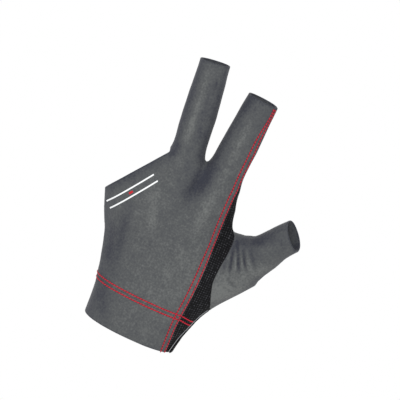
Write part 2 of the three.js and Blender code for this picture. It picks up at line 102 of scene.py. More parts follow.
PALM_ROWS = table("up palm aside fill depth", [
    (-0.14, 0.0, -0.005, 0.98, 1.0),
    (0.0, 0.0, -0.009, 0.99, 1.0),
    (0.1, 0.08, -0.005, 1.0, 1.0),
    (0.21, 0.3, 0.0, 0.985, 1.0),
    (0.38, 0.62, -0.023, 0.95, 1.0),
    (0.53, 0.85, -0.064, 0.931, 1.02),
    (0.66, 1.0, -0.109, 0.953, 0.98),
    (0.79, 1.0, -0.139, 0.92, 0.88),
    (0.88, 1.0, -0.152, 0.86, 0.7),
])
MIDDLE = dict(
    across=-0.171, up=1.0, lean=-8.1, tilt=0, length=MIDDLE_LENGTH, width=MIDDLE_WIDTH,
    rows=table("along aside out wide deep", [
        (-0.85, -0.05, 0.05, 0.42, 0.5),
        (-0.45, -0.02, 0.0, 0.52, 0.6),
        (-0.1, 0.0, 0.0, 0.55, 0.56),
        (0.15, 0.0, 0.0, 0.545, 0.53),
        (0.45, 0.0, 0.0, 0.555, 0.52),
        (0.75, 0.0, 0.0, 0.53, 0.5),
        (1.0, 0.0, 0.0, 0.5, 0.48),
        (1.3, 0.0, 0.0, 0.5, 0.48),
    ]),
)
INDEX = dict(
    across=0.135, up=1.0, lean=2.6, tilt=0, length=INDEX_LENGTH, width=INDEX_WIDTH,
    rows=table("along aside out wide deep", [
        (-1.0, -0.02, 0.05, 0.45, 0.5),
        (-0.5, 0.02, 0.0, 0.55, 0.6),
        (-0.1, 0.01, 0.0, 0.575, 0.55),
        (0.2, 0.01, 0.0, 0.56, 0.53),
        (0.55, 0.0, 0.0, 0.54, 0.51),
        (0.85, 0.0, 0.0, 0.51, 0.48),
        (1.0, 0.0, 0.0, 0.49, 0.47),
        (1.3, 0.0, 0.0, 0.49, 0.47),
    ]),
)
THUMB = dict(
    across=0.469, up=0.582, lean=42, tilt=10, length=THUMB_LENGTH, width=THUMB_WIDTH,
    rows=table("along aside out wide deep", [
        (-0.95, 0.52, 0.0, 0.77, 0.7),
        (-0.32, 0.25, 0.1, 0.865, 0.72),
        (0.13, 0.11, 0.08, 0.88, 0.64),
        (0.3, 0.11, 0.06, 0.725, 0.59),
        (0.46, 0.1, 0.03, 0.6, 0.54),
        (0.74, -0.02, 0.0, 0.51, 0.48),
        (1.0, -0.08, 0.0, 0.5, 0.47),
        (1.4, -0.1, 0.0, 0.49, 0.47),
    ]),
)
RIDGE = dict(INDEX, rows=table("along aside out wide deep", [
    (-0.6, 0.38, -0.3, 0.2, 0.2),
    (-0.1, 0.44, -0.27, 0.44, 0.44),
    (0.35, 0.43, -0.24, 0.5, 0.5),
    (0.8, 0.38, -0.19, 0.44, 0.44),
    (1.0, 0.37, -0.13, 0.36, 0.36),
    (1.3, 0.36, -0.1, 0.36, 0.36),
]))
RING = dict(
    across=-0.463, up=0.8, lean=-33, tilt=0, length=RING_LENGTH, width=RING_WIDTH,
    rows=table("along aside out wide deep", [
        (-1.0, 0.1, 0.0, 0.45, 0.34),
        (0.0, 0.0, 0.0, 0.51, 0.33),
        (0.7, 0.0, 0.0, 0.5, 0.31),
    ]),
)
DENTS = table("across up lean reach length deep", [
    (0.0, 0.86, 0, 0.05, 0.13, 0.05),
    (-0.24, 0.78, -14, 0.05, 0.16, 0.03),
    (-0.5, 0.5, -21, 0.045, 0.24, 0.045),
    (0.33, 0.62, 4, 0.05, 0.12, 0.04),
])
THUMB_OPENING = dict(lean=47, tilt=15)
RING_OPENING_DIP = 7
# Lines across and up the hand, as shares of the palm's width and height
RING_OPENING = [
    (-0.942, 0.337), (-0.3, 0.963), (-0.307, 0.985), (-0.313, 1.025), (-0.323, 1.07),
    (-0.47, 1.6), (-0.942, 1.6),
]
INDEX_SEAM = [
    (0.268, 1.15), (0.268, 1.0), (0.276, 0.881), (0.286, 0.753), (0.3, 0.61),
    (0.313, 0.458), (0.312, 0.329), (0.301, 0.193), (0.306, 0.065), (0.313, -0.1),
]
THUMB_SEAM = [
    (0.63, 1.13), (0.371, 0.741), (0.401, 0.713), (0.411, 0.667), (0.405, 0.58), (0.401, 0.519),
    (0.402, 0.459), (0.422, 0.402), (0.459, 0.328), (0.474, 0.298), (0.84, 0.26),
]
# How far aside of a finger's middle its opening cuts, in the finger's widths
OPENING_HALF_WIDTH = 0.95
# A distance past all of the glove, and places where lines start that are moved onto the form: off the
# back of the hand, beside the index finger, on the thumb's side, and round the cuff
FAR = 600.0
OUTSIDE = dict(back=-50, index=28, thumb=75, round=60)
TO_PALM = np.array([0.0, 1.0, 0.0])


# The hand's form

def unit(v):
    return v / np.linalg.norm(v, axis=-1, keepdims=True)


def mix(a, b, share):
    return a + (b - a) * share


def smoothstep(x, low, high):
    share = np.clip((x - low) / (high - low), 0, 1)
    return share * share * (3 - 2 * share)


def finger_axes(lean, tilt):
    """The unit vectors along a finger, aside from it, and out towards the palm."""
    leant = Matrix.Rotation(math.radians(lean), 3, "Y")
    turn = np.array(leant @ Matrix.Rotation(math.radians(tilt), 3, "X"))
    return turn[:, 2], turn[:, 0], turn[:, 1]


def root_of(finger):
    return np.array([finger["across"] * PALM_WIDTH, 0, finger["up"] * PALM_HEIGHT])


def axis_point(finger, along):
    return root_of(finger) + finger_axes(finger["lean"], finger["tilt"])[0] * along * finger["length"]


def spline(points, steps):
    """Places and directions along a centripetal Catmull-Rom curve through points."""
    points = np.asarray(points, float)
    ends = np.vstack([2 * points[0] - points[1], points, 2 * points[-1] - points[-2]])
    gaps = np.sqrt(np.linalg.norm(np.diff(ends, axis=0), axis=1))
    places, directions = [], []
    for i in range(len(points) - 1):
        p0, p1, p2, p3 = ends[i : i + 4]
        d0, d1, d2 = gaps[i : i + 3]
        d1 = d1 if d1 > 1e-4 else 1.0
        d0 = d0 if d0 > 1e-4 else d1
        d2 = d2 if d2 > 1e-4 else d1
        start = d1 * ((p1 - p0) / d0 - (p2 - p0) / (d0 + d1) + (p2 - p1) / d1)
        end = d1 * ((p2 - p1) / d1 - (p3 - p1) / (d1 + d2) + (p3 - p2) / d2)
        square = 3 * (p2 - p1) - 2 * start - end
        cube = 2 * (p1 - p2) + start + end
        is_last = i == len(points) - 2
        for t in np.arange(steps + is_last) / steps:
            places.append(p1 + t * (start + t * (square + t * cube)))
            directions.append(start + t * (2 * square + 3 * t * cube))
    return np.array(places), np.array(directions)


def limb_of(centres, halves, roundness):
    places, directions = spline(centres, SPINE_STEPS)
    sizes, _ = spline(np.column_stack([halves, np.zeros(len(halves))]), SPINE_STEPS)
    return dict(places=places, directions=unit(directions), sizes=sizes[:, :2], roundness=roundness)


def finger_limb(finger, girth=None):
    girth = girth or finger["width"]
    along, aside, out = finger_axes(finger["lean"], finger["tilt"])
    centres = [
        root_of(finger)
        + along * row["along"] * finger["length"]
        + aside * row["aside"] * finger["width"]
        + out * row["out"] * finger["width"]
        for row in finger["rows"]
    ]
    halves = [(row["wide"] * girth, row["deep"] * girth) for row in finger["rows"]]
    return limb_of(centres, halves, FINGER_ROUNDNESS)


def palm_limb():
    centres = [(row["aside"] * PALM_WIDTH, 0, row["up"] * PALM_HEIGHT) for row in PALM_ROWS]
    halves = [
        (
            mix(WRIST_WIDTH, PALM_WIDTH, row["palm"]) * row["fill"] / 2,
            mix(WRIST_DEPTH, PALM_DEPTH, row["palm"]) * row["depth"] / 2,
        )
        for row in PALM_ROWS
    ]
    return limb_of(centres, halves, PALM_ROUNDNESS)


def limb_distance(limb, p):
    """How far points are outside a limb, nearly exact close to its surface."""
    places, n = limb["places"], limb["roundness"]
    away = (places**2).sum(1) - 2 * p @ places.T
    nearest = away.argmin(1)
    best = np.full(len(p), np.inf)
    found = np.zeros(len(p), int)
    share = np.zeros(len(p))
    for shift in (-1, 0):
        i = np.clip(nearest + shift, 0, len(places) - 2)
        d = places[i + 1] - places[i]
        q = p - places[i]
        t = np.clip((q * d).sum(1) / (d * d).sum(1), 0, 1)
        gap = ((q - t[:, None] * d) ** 2).sum(1)
        closer = gap < best
        best = np.where(closer, gap, best)
        found = np.where(closer, i, found)
        share = np.where(closer, t, share)
    t = share[:, None]
    centre = mix(places[found], places[found + 1], t)
    tangent = unit(mix(limb["directions"][found], limb["directions"][found + 1], t))
    wide, deep = mix(limb["sizes"][found], limb["sizes"][found + 1], t).T
    side = unit(np.cross(TO_PALM, tangent))
    face = np.cross(tangent, side)
    q = p - centre
    halves = np.stack([wide, deep, deep])
    shares = np.abs(np.stack([(q * side).sum(1), (q * face).sum(1), (q * tangent).sum(1)])) / halves
    reach = np.maximum((shares**n).sum(0) ** (1 / n), 1e-3)
    slope = np.sqrt(((shares ** (n - 1) / halves) ** 2).sum(0))
    return (reach - 1) * reach ** (n - 1) / np.maximum(slope, 1e-6)


def blend(a, b, width):
    share = np.maximum(width - np.abs(a - b), 0) / width
    return np.minimum(a, b) - share**3 * width / 6


def across_and_along(p, spot):
    """How far points are aside of and along a spot on the back, as shares of its reach and length."""
    lean = math.radians(spot["lean"])
    x = p[:, 0] - spot["across"] * PALM_WIDTH
    z = p[:, 2] - spot["up"] * PALM_HEIGHT
    aside = (x * math.cos(lean) - z * math.sin(lean)) / (spot["reach"] * PALM_WIDTH)
    along = (x * math.sin(lean) + z * math.cos(lean)) / (spot["length"] * PALM_HEIGHT)
    return aside, along


def dent_depth(p):
    towards_back = smoothstep(-p[:, 1], 0, PALM_DEPTH / 4)
    total = np.zeros(len(p))
    for dent in DENTS:
        aside, along = across_and_along(p, dent)
        total += towards_back * dent["deep"] * PALM_DEPTH * np.exp(-(aside**2) - along**2)
    return total


LIMBS = dict(
    palm=palm_limb(),
    middle=finger_limb(MIDDLE),
    index=finger_limb(INDEX),
    thumb=finger_limb(THUMB),
    ring=finger_limb(RING),
    ridge=finger_limb(RIDGE, RIDGE_WIDTH),
)


def hand_distance(p):
    """How far points are outside the hand's form."""
    index = blend(limb_distance(LIMBS["index"], p), limb_distance(LIMBS["ridge"], p), RIDGE_BLEND)
    middle_and_index = blend(limb_distance(LIMBS["middle"], p), index, CROTCH_BLEND)
    fingers = blend(middle_and_index, limb_distance(LIMBS["ring"], p), CROTCH_BLEND)
    hand = blend(fingers, limb_distance(LIMBS["palm"], p), PALM_BLEND)
    return blend(hand, limb_distance(LIMBS["thumb"], p), THUMB_BLEND) + dent_depth(p)


def distance_and_slope(p, step=0.06):
    """The form's distance at points, and the vector in which it grows."""
    corners = np.array([(1, 1, 1), (1, -1, -1), (-1, 1, -1), (-1, -1, 1)], float)
    samples = [hand_distance(p + step * corner) for corner in corners]
    slope = sum(s[:, None] * corner for s, corner in zip(samples, corners)) / (4 * step)
    return sum(samples) / 4, slope


def onto_form(p, turns=2):
    for _ in range(turns):
        distance, slope = distance_and_slope(p)
        p = p - slope * (distance / (slope**2).sum(1))[:, None]
    return p


def normals_at(p):
    return unit(distance_and_slope(p)[1])


# The net of the form's surface

def surface_net():
    """Quads over the form: a point in each grid cell that it crosses, a quad round each crossed edge."""
    reach = np.array([[*limb["places"][i], limb["sizes"][i].max()] for limb in LIMBS.values()
                      for i in range(len(limb["places"]))])
    margin = NET_CELL.max()
    low = (reach[:, :3] - reach[:, 3:]).min(0) - margin
    high = (reach[:, :3] + reach[:, 3:]).max(0) + margin
    counts = np.ceil((high - low) / NET_CELL).astype(int)
    axes = [low[i] + NET_CELL[i] * np.arange(counts[i] + 1) for i in range(3)]
    grid = np.stack(np.meshgrid(*axes, indexing="ij"), -1)
    values = hand_distance(grid.reshape(-1, 3)).reshape(grid.shape[:3])

    total = np.zeros((*counts, 3))
    hits = np.zeros(counts, int)
    crossed = []
    for axis in range(3):
        before = np.moveaxis(values, axis, 0)[:-1]
        after = np.moveaxis(values, axis, 0)[1:]
        crossing = (before < 0) != (after < 0)
        share = np.where(crossing, before / np.where(crossing, before - after, 1), 0)
        place = np.moveaxis(grid, axis, 0)[:-1].copy()
        place[..., axis] += share * NET_CELL[axis]
        place[~crossing] = 0
        cells_total = np.moveaxis(total, axis, 0)
        cells_hits = np.moveaxis(hits, axis, 0)
        _, rows, columns = cells_hits.shape
        for a in (0, 1):
            for b in (0, 1):
                cells_total += place[:, a : a + rows, b : b + columns]
                cells_hits += crossing[:, a : a + rows, b : b + columns]
        crossed.append((crossing, before < 0))

    is_used = hits > 0
    number = np.full(counts, -1)
    number[is_used] = np.arange(is_used.sum())
    points = total[is_used] / hits[is_used][:, None]
    quads = []
    for axis in range(3):
        crossing, is_inside = crossed[axis]
        i, j, k = np.nonzero(crossing[:, 1:-1, 1:-1])
        cells = np.moveaxis(number, axis, 0)
        ring = np.stack([cells[i, j + 1, k + 1], cells[i, j, k + 1], cells[i, j, k], cells[i, j + 1, k]], 1)
        turned = is_inside[i, j + 1, k + 1] == (axis != 1)
        ring[~turned] = ring[~turned][:, ::-1]
        quads.append(ring)
    return points, np.vstack(quads)


def edges_of(faces, count):
    """The edges of faces, each once, and for each face's sides the number of its edge."""
    sides = np.sort(np.stack([faces, np.roll(faces, -1, axis=1)], -1), axis=-1)
    keys, inverse = np.unique(sides[..., 0] * count + sides[..., 1], return_inverse=True)
    return np.stack([keys // count, keys % count], 1), inverse.reshape(faces.shape)


def relaxed(points, quads):
    edges, _ = edges_of(quads, len(points))
    valence = np.bincount(edges.ravel(), minlength=len(points))[:, None]
    for _ in range(RELAX_ROUNDS):
        total = np.zeros_like(points)
        np.add.at(total, edges[:, 0], points[edges[:, 1]])
        np.add.at(total, edges[:, 1], points[edges[:, 0]])
        points = onto_form((points + total / valence) / 2, turns=1)
    return points


def halved(points, quads):
    edges, side_edge = edges_of(quads, len(points))
    middles = points[edges].mean(1)
    centres = points[quads].mean(1)
    on_side = len(points) + side_edge
    in_face = len(points) + len(edges) + np.arange(len(quads))
    parts = [
        np.stack([quads[:, i], on_side[:, i], in_face, on_side[:, i - 1]], 1)
        for i in range(4)
    ]
    return onto_form(np.vstack([points, middles, centres]), turns=1), np.vstack(parts)


def split_quads(points, a, b, c, d):
    """Two rows of triangles for quads with corners a to d, each split at its shorter diagonal."""
    from_a, from_b = points[a] - points[c], points[b] - points[d]
    is_short = np.linalg.norm(from_a, axis=1) < np.linalg.norm(from_b, axis=1)
    first = np.where(is_short[:, None], np.stack([a, b, c], 1), np.stack([a, b, d], 1))
    second = np.where(is_short[:, None], np.stack([a, c, d], 1), np.stack([b, c, d], 1))
    return first, second


# Cutting a net along the lines where a level is zero

# A point this near to a crossing, as a share of its edge, is moved onto it
SNAP = 0.14
# Rounds of false position, and the shares of an edge between which a round looks
CROSSING_ROUNDS = 4
CROSSING_SHARES = (0.02, 0.98)


def crossing_places(points, edges, values, level):
    """Where a level passes zero on each edge, found by false position."""
    a, b = points[edges[:, 0]], points[edges[:, 1]]
    low, high = np.zeros(len(edges)), np.ones(len(edges))
    at_low, at_high = values[edges[:, 0]], values[edges[:, 1]]
    for _ in range(CROSSING_ROUNDS):
        share = mix(low, high, np.clip(at_low / (at_low - at_high), *CROSSING_SHARES))
        found = level(mix(a, b, share[:, None]))
        is_before = np.sign(found) == np.sign(at_low)
        low, at_low = np.where(is_before, share, low), np.where(is_before, found, at_low)
        high, at_high = np.where(is_before, high, share), np.where(is_before, at_high, found)
    share = mix(low, high, at_low / np.where(at_low == at_high, 1, at_low - at_high))
    return share, mix(a, b, share[:, None])


def straight_places(points, edges, values, level):
    """Where values that grow evenly along each edge pass zero, which needs no level."""
    share = values[edges[:, 0]] / (values[edges[:, 0]] - values[edges[:, 1]])
    return share, mix(points[edges[:, 0]], points[edges[:, 1]], share[:, None])


def cut(points, faces, fixed, level, values=None):
    """Splits triangles where a level, or else the values given for the points, passes zero.

    Returns the net, its fixed points, its values, and for each face if it is past zero."""
    places = crossing_places if values is None else straight_places
    values = level(points) if values is None else values.copy()
    edges, _ = edges_of(faces, len(points))
    is_crossed = values[edges[:, 0]] * values[edges[:, 1]] < 0
    share, place = places(points, edges[is_crossed], values, level)
    near = np.where(share < 0.5, edges[is_crossed][:, 0], edges[is_crossed][:, 1])
    is_near = (np.minimum(share, 1 - share) < SNAP) & ~fixed[near]
    points, fixed = points.copy(), fixed.copy()
    points[near[is_near]] = place[is_near]
    values[near[is_near]] = 0
    fixed[near[is_near]] = True

    edges, side_edge = edges_of(faces, len(points))
    is_crossed = values[edges[:, 0]] * values[edges[:, 1]] < 0
    _, place = places(points, edges[is_crossed], values, level)
    number = np.full(len(edges), -1)
    number[is_crossed] = len(points) + np.arange(is_crossed.sum())
    points = np.vstack([points, place])
    values = np.append(values, np.zeros(len(place)))
    fixed = np.append(fixed, np.ones(len(place), bool))

    on_side = number[side_edge]
    crossings = (on_side >= 0).sum(1)
    parts = [faces[crossings == 0]]
    for i in range(3):
        j, k = (i + 1) % 3, (i + 2) % 3
        a, b, c = faces[:, i], faces[:, j], faces[:, k]
        once = (crossings == 1) & (on_side[:, i] >= 0)
        m = on_side[:, i]
        parts += [np.stack([a, m, c], 1)[once], np.stack([m, b, c], 1)[once]]
        twice = (crossings == 2) & (on_side[:, i] >= 0) & (on_side[:, k] >= 0)
        m, n = on_side[:, i], on_side[:, k]
        parts.append(np.stack([a, m, n], 1)[twice])
        parts += [half[twice] for half in split_quads(points, m, b, c, n)]
    faces = np.vstack(parts)
    return points, faces, fixed, values, values[faces].sum(1) > 0


def compacted(points, faces):
    used, inverse = np.unique(faces, return_inverse=True)
    return points[used], inverse.reshape(faces.shape)


def border_of(faces):
    """The edges that belong to one triangle only, in that triangle's direction."""
    sides = np.stack([faces, np.roll(faces, -1, axis=1)], -1).reshape(-1, 2)
    size = faces.max() + 1
    keys = np.sort(sides, axis=1) @ np.array([size, 1])
    _, first, counts = np.unique(keys, return_index=True, return_counts=True)
    return sides[first[counts == 1]]


def distance_to_lines(points, starts, ends, reach):
    """The distance from points to the nearest of many short lines, where it is less than reach."""
    tree = KDTree(len(starts))
    for i, start in enumerate(starts):
        tree.insert(start, i)
    tree.balance()
    distance = np.full(len(points), float(reach))
    longest = np.linalg.norm(ends - starts, axis=1).max()
    near = np.array([i for i, p in enumerate(points) if tree.find(p)[2] < reach + longest], int)
    d = ends - starts
    square = np.maximum((d * d).sum(1), 1e-12)
    for block in np.array_split(near, max(1, len(near) // 400)):
        q = points[block][:, None] - starts[None]
        t = np.clip((q * d).sum(2) / square, 0, 1)
        gaps = ((q - t[..., None] * d) ** 2).sum(2).min(1)
        distance[block] = np.minimum(distance[block], np.sqrt(gaps))
    return distance


# Where the openings and the panels lie

def outline_distance(x, z, outline):
    """How far places across and up the hand are outside a closed outline, negative inside."""
    starts = np.asarray(outline, float)
    ends = np.roll(starts, -1, axis=0)
    best = np.full(len(x), np.inf)
    is_inside = np.zeros(len(x), bool)
    for (x0, z0), (x1, z1) in zip(starts, ends):
        dx, dz = x1 - x0, z1 - z0
        t = np.clip(((x - x0) * dx + (z - z0) * dz) / (dx * dx + dz * dz), 0, 1)
        best = np.minimum(best, np.hypot(x - x0 - t * dx, z - z0 - t * dz))
        straddles = (z0 > z) != (z1 > z)
        is_inside ^= straddles & (x < x0 + (z - z0) * dx / (dz if dz else 1))
    return np.where(is_inside, -best, best)


def rounded(outline, rounds=3, share=0.12):
    """A closed outline with its corners cut off a few times."""
    outline = np.asarray(outline, float)
    for _ in range(rounds):
        after = np.roll(outline, -1, axis=0)
        outline = np.stack([mix(outline, after, share), mix(outline, after, 1 - share)], 1).reshape(-1, 2)
    return outline


def in_palm_sizes(points):
    return [(across * PALM_WIDTH, up * PALM_HEIGHT) for across, up in points]


THUMB_LINE = spline(in_palm_sizes(THUMB_SEAM), THUMB_SEAM_STEPS)[0]
THUMB_REGION = np.vstack([THUMB_LINE, [(FAR, THUMB_LINE[-1][1]), (FAR, THUMB_LINE[0][1])]])
INDEX_LINE = spline(in_palm_sizes(INDEX_SEAM), SEAM_STEPS)[0][::-1]
RING_REGION = rounded(in_palm_sizes(RING_OPENING))
SEAM_LEVEL_LINE = spline(SEAM_LEVELS, SEAM_STEPS)[0]


def before_opening(p, finger, lean, tilt):
    """Positive up to a finger's opening, and away from that finger."""
    along, aside, _ = finger_axes(lean, tilt)
    q = p - axis_point(finger, 1)
    return np.maximum(-q @ along, np.abs(q @ aside) - OPENING_HALF_WIDTH * finger["width"])


def before_ring_opening(p):
    dip = math.radians(RING_OPENING_DIP)
    level = RING["up"] * PALM_HEIGHT
    z = level + (p[:, 2] - level) * math.cos(dip) + p[:, 1] * math.sin(dip)
    return outline_distance(p[:, 0], z, RING_REGION)


OPENINGS = [
    lambda p: p[:, 2],
    lambda p: before_opening(p, MIDDLE, MIDDLE["lean"], MIDDLE["tilt"]),
    lambda p: before_opening(p, INDEX, INDEX["lean"], INDEX["tilt"]),
    lambda p: before_opening(p, THUMB, **THUMB_OPENING),
    before_ring_opening,
]


def in_thumb(p):
    return -outline_distance(p[:, 0], p[:, 2], THUMB_REGION)


def index_axis(z):
    return axis_point(INDEX, 0)[0] + (z - PALM_HEIGHT) * math.tan(math.radians(INDEX["lean"]))


def index_seam_level(z):
    return np.interp(z, SEAM_LEVEL_LINE[:, 0], SEAM_LEVEL_LINE[:, 1])


def past_index_seam(p):
    """How far points are past the back panel's edge on the index finger's side."""
    z = p[:, 2]
    by_line = p[:, 0] - np.interp(z, INDEX_LINE[:, 1], INDEX_LINE[:, 0])
    by_level = np.minimum(p[:, 1] - index_seam_level(z), p[:, 0] - index_axis(z))
    return mix(by_line, by_level, smoothstep(z, *SEAM_TURN))


def in_gusset(p):
    rise = smoothstep(p[:, 2], GUSSET_TOP - GUSSET_TAPER, GUSSET_TOP)
    palm_side = mix(SIDE_SEAM_DEPTH, index_seam_level(GUSSET_TOP) - GUSSET_TIP, rise)
    column = np.minimum(past_index_seam(p), GUSSET_TOP - p[:, 2])
    return np.minimum(np.minimum(column, palm_side - p[:, 1]), -in_thumb(p))


def in_cuff(p):
    return np.minimum(np.minimum(CUFF_HEIGHT - p[:, 2], -in_gusset(p)), -in_thumb(p))


def in_back(p):
    side = np.where(p[:, 0] > index_axis(p[:, 2]), -past_index_seam(p), FAR)
    front = np.minimum(SIDE_SEAM_DEPTH - p[:, 1], p[:, 2] - CUFF_HEIGHT)
    return np.minimum(np.minimum(side, front), np.minimum(-in_gusset(p), -in_thumb(p)))


def panels():
    """The form's net, cut at the openings and parted at the seams, one net for each panel."""
    points, quads = surface_net()
    points = relaxed(points, quads)
    for _ in range(HALVINGS):
        points, quads = halved(points, quads)
    faces = np.vstack(split_quads(points, *quads.T))
    fixed = np.zeros(len(points), bool)
    for opening in OPENINGS:
        points, faces, fixed, _, is_kept = cut(points, faces, fixed, opening)
        faces = faces[is_kept]
    parted = {}
    for name, level in (("thumb", in_thumb), ("gusset", in_gusset), ("cuff", in_cuff), ("back", in_back)):
        points, faces, fixed, _, is_in = cut(points, faces, fixed, level)
        parted[name] = faces[is_in]
        faces = faces[~is_in]
    parted["palm"] = faces
    points = onto_form(points, turns=1)
    return {name: compacted(points, panel) for name, panel in parted.items()}


# From a panel's net to a piece of cloth

# Creases of the cloth from one place to another, across and up the hand in millimetres. deep is how
# far a crease is pressed in, or, where it is negative, how far a fold stands out.
CREASES = table("start end wide deep", [
    ((39.5, 91.0), (47.0, 68.0), 0.9, 1.0),
    ((39.0, 97.0), (53.0, 72.0), 0.9, 1.1),
    ((44.5, 94.0), (56.5, 76.0), 0.9, 1.0),
    ((50.5, 94.0), (62.0, 81.0), 1.1, 0.5),
    ((38.0, 84.0), (42.5, 66.0), 1.0, 0.4),
    ((41.5, 94.0), (50.0, 72.0), 1.1, -0.6),
    ((43.0, 96.0), (55.5, 74.0), 1.2, -0.6),
    ((48.5, 93.0), (59.5, 78.0), 1.3, -0.5),
    ((44.0, 68.0), (57.0, 62.0), 1.2, 0.5),
    ((43.0, 61.0), (55.0, 57.5), 1.2, 0.4),
    ((-33.0, 133.0), (-22.0, 128.0), 1.6, 0.25),
    ((-30.0, 138.0), (-20.0, 135.0), 1.6, 0.2),
    ((6.0, 140.0), (20.0, 137.0), 1.8, 0.2),
    ((-20.0, 192.0), (-16.5, 181.0), 1.2, 0.35),
    ((5.0, 132.0), (-4.0, 105.0), 4.5, 0.5),
    ((-45.0, 76.0), (-33.0, 35.0), 3.0, 0.45),
    ((-28.0, 112.0), (-15.0, 70.0), 4.0, -0.35),
    ((10.0, 126.0), (14.0, 78.0), 4.0, -0.35),
])
# The share of a crease's length over which each end fades, and the levels towards the back between
# which creases set in
CREASE_FADE = 0.35
CREASE_LEVELS = (-2, 4)
# Slow waves over the cloth: how high, and how long across, through and along the hand
WAVES = [
    dict(high=0.09, long=(31.0, 44.0, 47.0), shift=0.4),
    dict(high=0.06, long=(17.0, 25.0, -29.0), shift=2.1),
    dict(high=0.03, long=(-11.0, 19.0, 15.0), shift=4.0),
]
# How far the cloth's edge lies over the mesh's at the index seam, how wide that is, and where on the
# hand it is: past a place across, and on the back's side of a level
LAP = 0.35
LAP_REACH = 2.4
LAP_ACROSS = 15
LAP_LEVEL = -1

# Rows of points beside a panel's border, by their distance, the distance up to which it is measured,
# and how near to an opening's line a border counts as a hem
ROUNDING_ROWS = (0.06, 0.16, 0.3, 0.6)
ROW_REACH = 1.5
ON_HEM = 0.05


def with_rows(points, faces):
    """Adds rows of points beside the border, so that it can be rounded."""
    border = border_of(faces)
    fixed = np.zeros(len(points), bool)
    fixed[border.ravel()] = True
    distance = distance_to_lines(points, points[border[:, 0]], points[border[:, 1]], ROW_REACH)
    for row in ROUNDING_ROWS:
        points, faces, fixed, past_row, _ = cut(points, faces, fixed, None, distance - row)
        distance = past_row + row
    return points, faces


def hem_distance(points):
    return np.min([np.abs(opening(points)) for opening in OPENINGS], axis=0)


def folds(p):
    """How far the creases and folds lift the cloth."""
    towards_back = smoothstep(-p[:, 1], *CREASE_LEVELS)
    total = np.zeros(len(p))
    for crease in CREASES:
        start, end = np.array(crease["start"]), np.array(crease["end"])
        length = np.linalg.norm(end - start)
        along = (end - start) / length
        q = p[:, [0, 2]] - start
        share = q @ along / length
        aside = (q[:, 0] * along[1] - q[:, 1] * along[0]) / crease["wide"]
        fade = smoothstep(share, 0, CREASE_FADE) * smoothstep(1 - share, 0, CREASE_FADE)
        total -= crease["deep"] * np.exp(-(aside**2)) * fade * towards_back
    return total


def relief(p):
    """How far the cloth stands out from the form."""
    total = folds(p)
    for wave in WAVES:
        total += wave["high"] * np.sin((p / np.array(wave["long"]) * 2 * math.pi).sum(1) + wave["shift"])
    return total


def lap_share(p):
    """How close points are to the index seam, on the back of the hand."""
    on_seam_side = (p[:, 0] > LAP_ACROSS) & (p[:, 1] < LAP_LEVEL)
    return np.exp(-((past_index_seam(p) / LAP_REACH) ** 2)) * on_seam_side


def on_cloth(p):
    """Points on the form, moved to the outer face of the cloth."""
    lap = -LAP * np.sign(past_index_seam(p))
    return p + normals_at(p) * (relief(p) + lap * lap_share(p))[:, None]


def cloth(points, faces, half, lap):
    """A panel's outer and inner face, which meet in a rounded edge."""
    points, faces = with_rows(points, faces)
    border = border_of(faces)
    starts, ends = points[border[:, 0]], points[border[:, 1]]
    is_hem = hem_distance((starts + ends) / 2) < ON_HEM
    normals = normals_at(points)
    lift = np.full(len(points), float(half))
    for on_hem, rounding in ((True, HEM_ROUNDING), (False, SEAM_ROUNDING)):
        chosen = is_hem == on_hem
        if not chosen.any():
            continue
        distance = distance_to_lines(points, starts[chosen], ends[chosen], rounding)
        share = 1 - np.clip(distance / rounding, 0, 1)
        lift = np.minimum(lift, half * np.sqrt(np.clip(1 - share**2, 0, 1)))
    is_border = np.zeros(len(points), bool)
    is_border[border.ravel()] = True
    height = relief(points) + lap * lap_share(points) - half
    middle = points + normals * height[:, None]
    outer = middle + normals * lift[:, None]
    inner = middle - normals * lift[:, None]
    outer[is_border] = middle[is_border]
    number = np.arange(len(points))
    number[~is_border] = len(points) + np.arange((~is_border).sum())
    return np.vstack([outer, inner[~is_border]]), np.vstack([faces, number[faces][:, ::-1]])


# How far a face is turned out of the cloth's form, or into it, to count as outer or inner
IS_FACING = 0.2


def set_tone(piece, points):
    """Keeps the cloth's tone, with its painted shade and painted highlights, with the mesh, and which of
    its points are on the outer face.
    """
    mesh = piece.data
    normals = np.empty(len(points) * 3)
    mesh.vertices.foreach_get("normal", normals)
    normals = normals.reshape(-1, 3)
    facing = (normals * normals_at(points)).sum(1)
    for name, values in (("tone", tone_with_painted_shade(points, normals, facing)), ("outer", facing > IS_FACING)):
        attribute = mesh.attributes.new(name, "FLOAT", "POINT")
        attribute.data.foreach_set("value", values.astype(float))


NET_PITCH = 1.65


def set_net(piece, points):
    """Phases of the net's rows, which follow the index seam."""
    across = past_index_seam(points)
    lean = math.pi / NET_PITCH
    phases = np.stack([(across + points[:, 2]) * lean, (across - points[:, 2]) * lean, across * 0], 1)
    attribute = piece.data.attributes.new("net", "FLOAT_VECTOR", "POINT")
    attribute.data.foreach_set("vector", phases.ravel())


def piece_of(name, points, faces, material, slot, node=None):
    """A visible piece from points in millimetres, which rides on the glove's one body."""
    mesh = bpy.data.meshes.new(name)
    mesh.from_pydata((points * MM).tolist(), [], faces.tolist())
    mesh.polygons.foreach_set("use_smooth", np.ones(len(faces), bool))
    mesh.materials.append(material)
    piece = bpy.data.objects.new(name, mesh)
    bpy.context.collection.objects.link(piece)
    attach(piece, "root")
    if node:
        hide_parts(node)
    return piece


# Thread: rows of stitches that lie on the form

STITCH_PITCH = 2.1
SEAM_STITCH_LENGTH = 1.6
CUFF_STITCH_LENGTH = 2.0
STITCH_WIDTH = 0.88
STITCH_HEIGHT = 0.36
STITCH_SLANT = 18
# How far the rows are from the panel's edge: from the wrist up, and near the index finger's opening,
# and the heights between which they close up
ROW_FROM_EDGE = ((1.1, 1.0), (4.5, 2.4))
ROWS_CLOSE_UP = (148, 188)
CUFF_ROW_FROM_SEAM = (-1.6, 1.6)
CORE_WIDTH = 0.85
CORE_HEIGHT = 0.18
